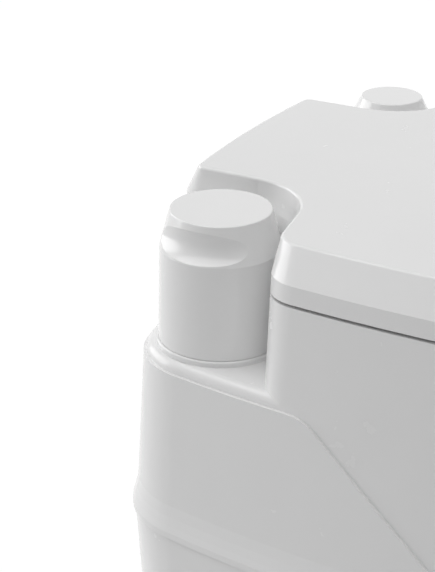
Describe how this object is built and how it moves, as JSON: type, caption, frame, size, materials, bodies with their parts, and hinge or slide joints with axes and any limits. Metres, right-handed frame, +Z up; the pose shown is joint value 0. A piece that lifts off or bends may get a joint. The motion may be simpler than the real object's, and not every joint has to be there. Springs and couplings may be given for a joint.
{
  "type": "portable chemical toilet",
  "caption": "Box-shaped portable toilet: a flush water unit with hinged seat and bevelled lid, tall filler cap and piston pump, clipped onto a waste tank with slide valve and swivel spout.",
  "frame": {"origin": "on the floor, below the middle of the toilet", "axes": "+Z up, +Y to the rear, +X to the user's right when facing the front"},
  "size_m": [0.383, 0.4269, 0.414],
  "materials": {
    "white_shell": "satin",
    "white_cap": "satin",
    "bowl_white": "gloss",
    "inner_plastic": "matte",
    "grey_plastic": "satin",
    "clear_plastic": "clear",
    "hose_plastic": "satin",
    "rubber": "matte",
    "steel": "brushed",
    "float_red": "matte"
  },
  "bodies": {
    "waste_tank_unit": {"waste_tank": "white_shell", "waste_level_window": "clear_plastic", "float_pin": "steel", "valve_frame": "inner_plastic", "valve_lip_seal": "rubber", "valve_frame_screws": "steel", "spout_seal": "rubber", "vent_housing": "inner_plastic", "vent_spring": "steel", "latch_pins": "steel"},
    "slide_valve": {"valve_blade": "inner_plastic", "valve_handle": "grey_plastic"},
    "spout": {"spout_elbow": "grey_plastic"},
    "spout_cap_slide": {"spout_cap_washer": "rubber"},
    "spout_cap_turn": {"spout_cap": "grey_plastic"},
    "vent": {"vent_button": "grey_plastic", "vent_seal": "rubber"},
    "float_arm": {"level_float": "float_red"},
    "left_latch": {"latch_left": "grey_plastic"},
    "right_latch": {"latch_right": "grey_plastic"},
    "flush_unit": {"flush_tank_shell": "white_shell", "water_level_window": "clear_plastic", "flush_tank_floor": "inner_plastic", "bowl": "bowl_white", "bowl_outlet_seal": "rubber", "filler_neck": "white_shell", "pump_tower": "white_shell", "pump_barrel": "inner_plastic", "pump_gland": "inner_plastic", "foot_valve_cage": "inner_plastic", "flush_hose": "hose_plastic", "rim_nozzle": "inner_plastic", "hinge_brackets": "inner_plastic", "hinge_pins": "steel", "hinge_screws": "steel"},
    "foot_ball": {"foot_valve_ball": "steel"},
    "pump_plunger": {"pump_knob": "white_cap", "pump_rod": "steel", "pump_piston": "inner_plastic", "piston_seal": "rubber"},
    "fill_cap_slide": {"fill_cap_seal": "rubber"},
    "fill_cap_turn": {"fill_cap": "white_cap"},
    "seat_ring": {"seat": "white_shell", "seat_buffers": "rubber"},
    "lid_cover": {"lid": "white_shell", "lid_buffers": "rubber"}
  },
  "joints": [
    {"name": "valve_pull", "type": "slide", "parent": "waste_tank_unit", "child": "slide_valve", "axis": [0, -1, 0], "range_m": [0, 0.115]},
    {"name": "spout_swivel", "type": "hinge", "parent": "waste_tank_unit", "child": "spout", "pos_m": [0.106, 0.164, 0.18], "axis": [0, 0, -1], "range_deg": [0, 90]},
    {"name": "spout_cap_pull", "type": "slide", "parent": "spout", "child": "spout_cap_slide", "axis": [-1, 0, 0], "range_m": [0, 0.04]},
    {"name": "spout_cap_twist", "type": "hinge", "parent": "spout_cap_slide", "child": "spout_cap_turn", "pos_m": [-0.006, 0.164, 0.18], "axis": [-1, 0, 0], "range_deg": [0, 270]},
    {"name": "vent_press", "type": "slide", "parent": "waste_tank_unit", "child": "vent", "axis": [0, 0, -1], "range_m": [0, 0.006], "stiffness_N_per_m": 300, "springref_m": -0.003, "deforming": ["vent_spring"]},
    {"name": "float_swing", "type": "hinge", "parent": "waste_tank_unit", "child": "float_arm", "pos_m": [-0.112, -0.178, 0.135], "axis": [1, 0, 0], "range_deg": [0, 40]},
    {"name": "latch_left_pivot", "type": "hinge", "parent": "waste_tank_unit", "child": "left_latch", "pos_m": [-0.1832, -0.04, 0.166], "axis": [0, -1, 0], "range_deg": [0, 35]},
    {"name": "latch_right_pivot", "type": "hinge", "parent": "waste_tank_unit", "child": "right_latch", "pos_m": [0.1832, -0.04, 0.166], "axis": [0, 1, 0], "range_deg": [0, 35]},
    {"name": "flush_unit_lift", "type": "slide", "parent": "waste_tank_unit", "child": "flush_unit", "axis": [0, 0, 1], "range_m": [0, 0.15]},
    {"name": "foot_ball_rise", "type": "slide", "parent": "flush_unit", "child": "foot_ball", "axis": [0, 0, 1], "range_m": [0, 0.0009]},
    {"name": "pump_stroke", "type": "slide", "parent": "flush_unit", "child": "pump_plunger", "axis": [0, 0, 1], "range_m": [0, 0.055]},
    {"name": "fill_cap_lift", "type": "slide", "parent": "flush_unit", "child": "fill_cap_slide", "axis": [0, 0, 1], "range_m": [0, 0.07]},
    {"name": "fill_cap_twist", "type": "hinge", "parent": "fill_cap_slide", "child": "fill_cap_turn", "pos_m": [-0.1252, 0.145, 0.36], "axis": [0, 0, 1], "range_deg": [0, 90]},
    {"name": "seat_hinge", "type": "hinge", "parent": "flush_unit", "child": "seat_ring", "pos_m": [0, 0.189, 0.3895], "axis": [-1, 0, 0], "range_deg": [0, 95]},
    {"name": "lid_hinge", "type": "hinge", "parent": "seat_ring", "child": "lid_cover", "pos_m": [0, 0.189, 0.3895], "axis": [1, 0, 0], "range_deg": [-100, 0]}
  ]
}
